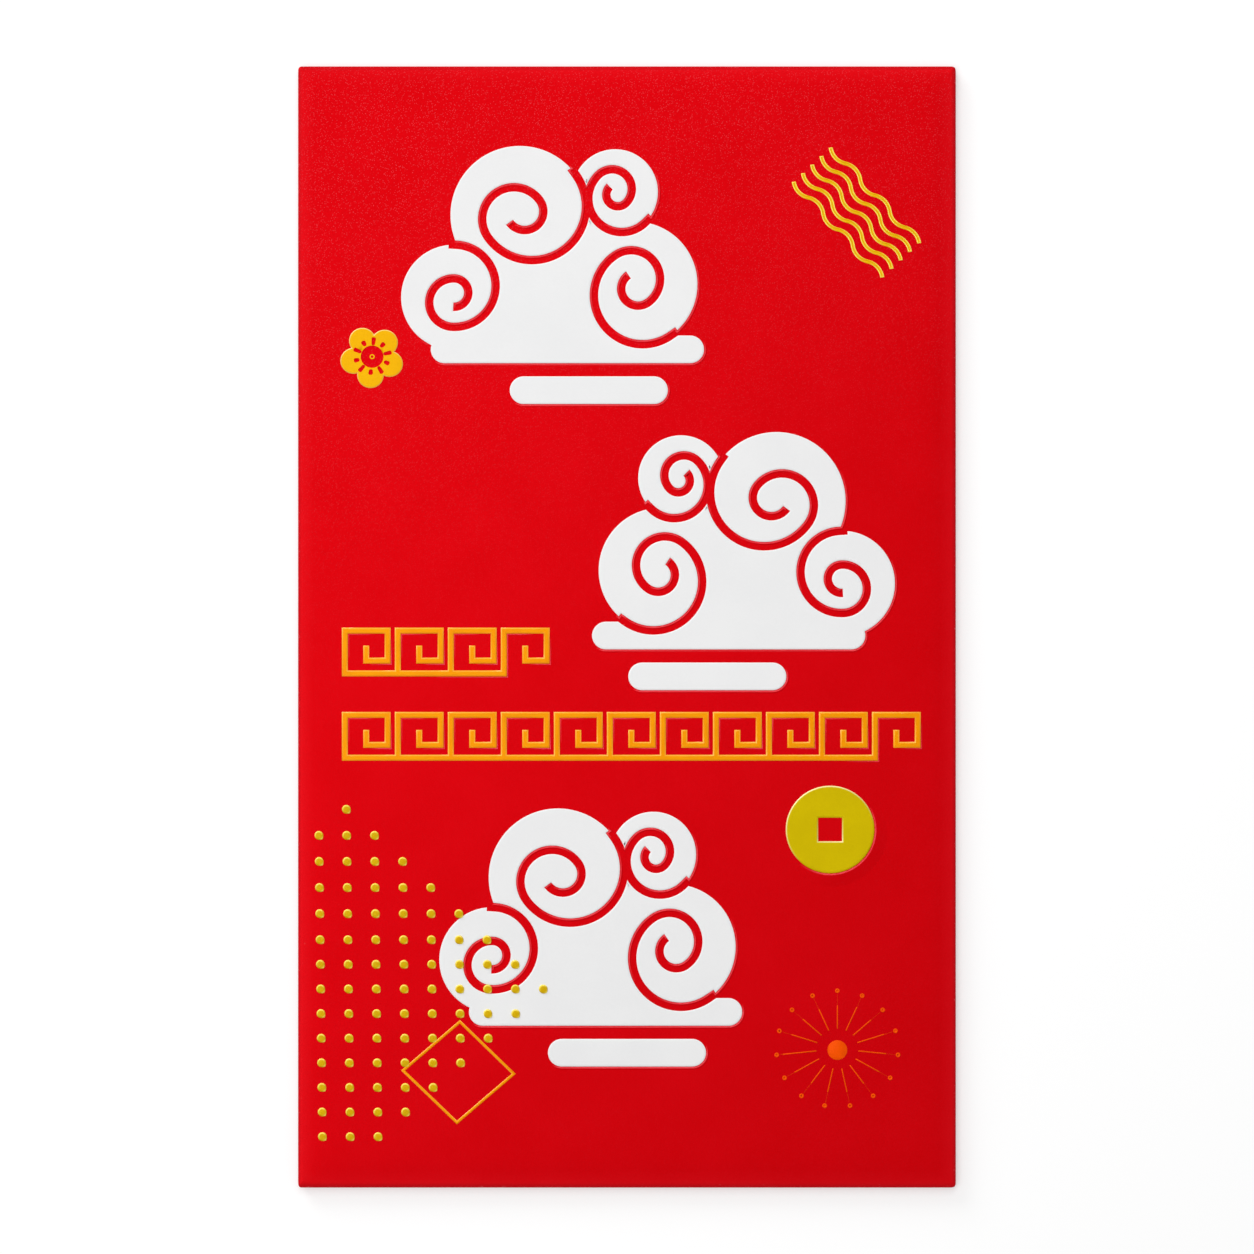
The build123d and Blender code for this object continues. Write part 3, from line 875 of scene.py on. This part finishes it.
def shapeStamens(bm):
    groups = islands(bm)
    middle = middleOf(max(groups, key=spread))
    least, most = stamenLook["least"] * mm, stamenLook["most"] * mm
    for group in groups:
        size = spread(group)
        centre = middleOf(group)
        away = (centre - middle).xy.to_3d()
        if size >= most:
            continue
        if away.length < stamenLook["centre"] * mm:
            scale = stamenLook["pip"] if size > least else stamenLook["pipHole"]
            for v in group:
                v.co.xy = (centre + (v.co - centre) * scale).xy
        elif size > least:
            along = away.normalized()
            across = Vector((along.y, -along.x, 0))
            half = max(abs((v.co - centre).dot(along)) for v in group)
            for v in group:
                run = (v.co - centre).dot(along)
                side = (v.co - centre).dot(across)
                wide = stamenLook["widen"] + stamenLook["taper"] * run / half
                v.co.xy = (centre + along * run * stamenLook["lengthen"] + across * side * wide).xy


for name in printSteps:
    piece = raisePrint(name)
    print("stage:", piece.name, len(piece.data.polygons), "faces")


# Round studs

studLook = {
    "finish": "studGold",
    "segments": 16,
    "wider": 0.97,
    "tip": 0.20, "tipTurn": -45.0, "tipReach": 24.0,     # a small point at the lower right, angles in degrees
    # (share of the radius, height in mm) of each ring, and the last one painted pale as a highlight
    "profile": [(1.0, 0.02), (0.94, 0.07), (0.82, 0.115), (0.62, 0.13)], "rim": 2,
    # the rows lean a little in the photo
    "about": (-34.6, -52.1), "shift": 0.24, "stretch": -0.0082, "lean": -0.0117,
}


def studPlaces():
    # middle, radius and foot of each stud of the node
    bm = bmesh.new()
    bm.from_mesh(nodes["stud_foil"].data)
    bmesh.ops.remove_doubles(bm, verts=bm.verts, dist=weld)
    places = []
    for group in islands(bm):
        radius = spread(group) / 2
        middle = Vector((max(v.co.x for v in group) - radius, max(v.co.y for v in group) - radius, 0))
        x, y = [middle[k] / mm - studLook["about"][k] for k in range(2)]
        middle.x += (studLook["shift"] + studLook["stretch"] * x + studLook["lean"] * y) * mm
        places.append((middle, radius * studLook["wider"], min(v.co.z for v in group)))
    bm.free()
    return places


def studLoops(places, inward, bm):
    for middle, radius, foot in places:
        made = bmesh.ops.create_circle(bm, segments=studLook["segments"], radius=radius,
                                       matrix=Matrix.Translation(middle))["verts"]
        for v in made:
            away = v.co - middle
            turn = math.degrees(math.atan2(away.y, away.x)) - studLook["tipTurn"]
            turn = (turn + 180) % 360 - 180
            away *= 1 + studLook["tip"] * math.exp(-(turn / studLook["tipReach"]) ** 2)
            v.co = middle + away
            v[inward] = -away / radius
            v.co.z = foot


def makeStuds(places):
    bm = bmesh.new()
    inward = bm.verts.layers.float_vector.new("inward")
    rim = bm.verts.layers.float.new("rim")
    studLoops(places, inward, bm)
    radius = places[0][1]
    bottom = bm.verts[:]
    edges = bm.edges[:]
    bmesh.ops.holes_fill(bm, edges=edges, sides=studLook["segments"])
    share, level = 1.0, 0.0
    for number, (nextShare, nextLevel) in enumerate(studLook["profile"]):
        edges = grow(bm, edges, inward, (share - nextShare) * radius / mm, nextLevel - level)
        for v in ringPoints(edges):
            # the tip is painted pale as a glint, on top of the painted highlight on the lit side
            tip = keepIn((v[inward].length - 1) / studLook["tip"], 0, 1)
            v[rim] = max(rimHighlightShare(-v[inward], studLook), tip) if number <= studLook["rim"] else 0.0
        share, level = nextShare, nextLevel
    bmesh.ops.holes_fill(bm, edges=edges, sides=studLook["segments"])
    for v in bottom:
        v.co.z = printFoot
    bmesh.ops.recalc_face_normals(bm, faces=bm.faces)
    liftAll(bm)
    material = foils[studLook["finish"]]
    piece = makePiece("stud_print", bm, material, printLook["roundSmooth"])
    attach(piece, "pocket")
    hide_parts("stud_foil")
    return piece


studs = makeStuds(studPlaces())
print("stage: studs,", len(studs.data.polygons), "faces")


# Pressed paper around the print

def ridgeOf(bm, inward, ridge, joined):
    # closed rings that run outwards from open loops, added to joined
    rim = bm.verts.layers.float.new("rim")
    for v in bm.verts:
        v.co.z = printFoot
        v[rim] = 1.0
    edges = bm.edges[:]
    for number, (step, height) in enumerate(ridge):
        edges = grow(bm, edges, inward, -step)
        for v in ringPoints(edges):
            facing = -v[inward].normalized().dot(printLook["pressSide"])
            share = keepIn(facing * printLook["pressGain"], 0, 1)
            # the first ring is painted paler as a highlight, and glossed, where it faces the lower right
            v[rim] = printLook["ridgeHighlightAndGloss"] * share if number == 0 else 0.0
            sunk = printLook["pressSunk"] * printLook["sink"] * (1 - share)
            v.co.z = panelHigh.z + (height * share - sunk) * mm
    # down again and back under to the start
    edges = grow(bm, edges, inward, 0)
    for v in ringPoints(edges):
        v.co.z = printFoot
    grow(bm, edges, inward, sum(step for step, height in ridge))
    bmesh.ops.remove_doubles(bm, verts=bm.verts, dist=weld)
    bmesh.ops.recalc_face_normals(bm, faces=bm.faces)
    mesh = bpy.data.meshes.new("ridge")
    bm.to_mesh(mesh)
    bm.free()
    joined.from_mesh(mesh)
    bpy.data.meshes.remove(mesh)


def makeRidges():
    joined = bmesh.new()
    for name, steps in printSteps.items():
        if "ridge" not in steps:
            continue
        bm, inward, _ = outlineOf(name)
        small = [v for group in islands(bm) if spread(group) < steps["least"] * mm for v in group]
        bmesh.ops.delete(bm, geom=small, context="VERTS")
        ridgeOf(bm, inward, steps["ridge"], joined)
    liftAll(joined)
    piece = makePiece("pressed_ridges", joined, redPressedHighlit, printLook["roundSmooth"])
    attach(piece, "pocket")
    return piece


ridges = makeRidges()
print("stage: ridges,", len(ridges.data.polygons), "faces")


# Floor, light and camera

stageLook = {
    "frameWidth": 190.45,    # mm across the picture at the front of the envelope
    "lens": 150.0,
    "sensor": 36.0,
    # metres and watts
    "lamps": {
        "key": {"place": (-1.25, 1.65, 0.80), "along": (0.80, 0.60, 0), "size": (1.4, 0.9), "power": 23.5},
        "window": {"place": (-0.076, 0.080, 0.52), "along": (0.507, 0.862, 0), "size": (0.74, 0.22),
                   "power": 1.76},
    },
    "sky": 0.36,
    "floorTone": 0.60,
    "floorGlow": 0.45,
    "floorRange": (0.20, 0.70),              # where the floor starts and ends turning white
    "floorHalf": 4.0, "floorDrop": 0.02,     # half its width in metres, and how far it lies below in mm
}


def makeWorld():
    world = bpy.data.worlds.new("studio")
    bpy.context.scene.world = world
    f = Finish(world, "ShaderNodeOutputWorld")
    level = stageLook["sky"] + f.seenRay() * (1 - stageLook["sky"])
    f.shade(f.add("ShaderNodeBackground", {}, {"Color": colour(1, 1, 1), "Strength": level}))


def floorFinish():
    tone = stageLook["floorTone"]
    f = Finish(bpy.data.materials.new("pale floor"))
    diffuse = f.add("ShaderNodeBsdfDiffuse", {}, {"Color": colour(tone, tone, tone)})
    glow = f.add("ShaderNodeEmission", {}, {"Strength": f.seenRay() * stageLook["floorGlow"]})
    near = f.add("ShaderNodeAddShader", {}, {0: diffuse, 1: glow})
    far = f.add("ShaderNodeEmission", {}, {"Strength": f.seenRay()})
    away = f.add("ShaderNodeVectorMath", {"operation": "LENGTH"}, {0: f.place()}, "Value")
    share = f.step(away, *stageLook["floorRange"])
    return f.shade(f.add("ShaderNodeMixShader", {}, {0: share, 1: near, 2: far}))


def makeFloor():
    bm = bmesh.new()
    bmesh.ops.create_grid(bm, x_segments=2, y_segments=2, size=stageLook["floorHalf"])
    bmesh.ops.translate(bm, vec=(0, 0, -stageLook["floorDrop"] * mm), verts=bm.verts)
    mesh = bpy.data.meshes.new("floor")
    bm.to_mesh(mesh)
    bm.free()
    mesh.materials.append(floorFinish())
    floor = bpy.data.objects.new("floor", mesh)
    bpy.context.scene.collection.objects.link(floor)


def makeLamp(name, place, along, size, power):
    # a soft strip that faces the middle of the envelope
    lamp = bpy.data.lights.new(name, "AREA")
    lamp.shape = "RECTANGLE"
    lamp.size, lamp.size_y = size
    lamp.energy = power
    back = Vector(place).normalized()
    long = (Vector(along) - back * back.dot(Vector(along))).normalized()
    holder = bpy.data.objects.new(name, lamp)
    holder.location = place
    holder.rotation_euler = Matrix((long, back.cross(long), back)).transposed().to_euler()
    bpy.context.scene.collection.objects.link(holder)


def makeCamera():
    camera = bpy.data.cameras.new("camera")
    camera.lens = stageLook["lens"]
    camera.sensor_width = stageLook["sensor"]
    holder = bpy.data.objects.new("camera", camera)
    reach = stageLook["frameWidth"] * mm * stageLook["lens"] / stageLook["sensor"]
    holder.location = (0, 0, panelHigh.z + reach)
    bpy.context.scene.collection.objects.link(holder)
    bpy.context.scene.camera = holder


makeWorld()
makeFloor()
for name, lamp in stageLook["lamps"].items():
    makeLamp(name, **lamp)
makeCamera()
bpy.context.scene.view_settings.view_transform = "Standard"
print("stage: floor, light and camera")
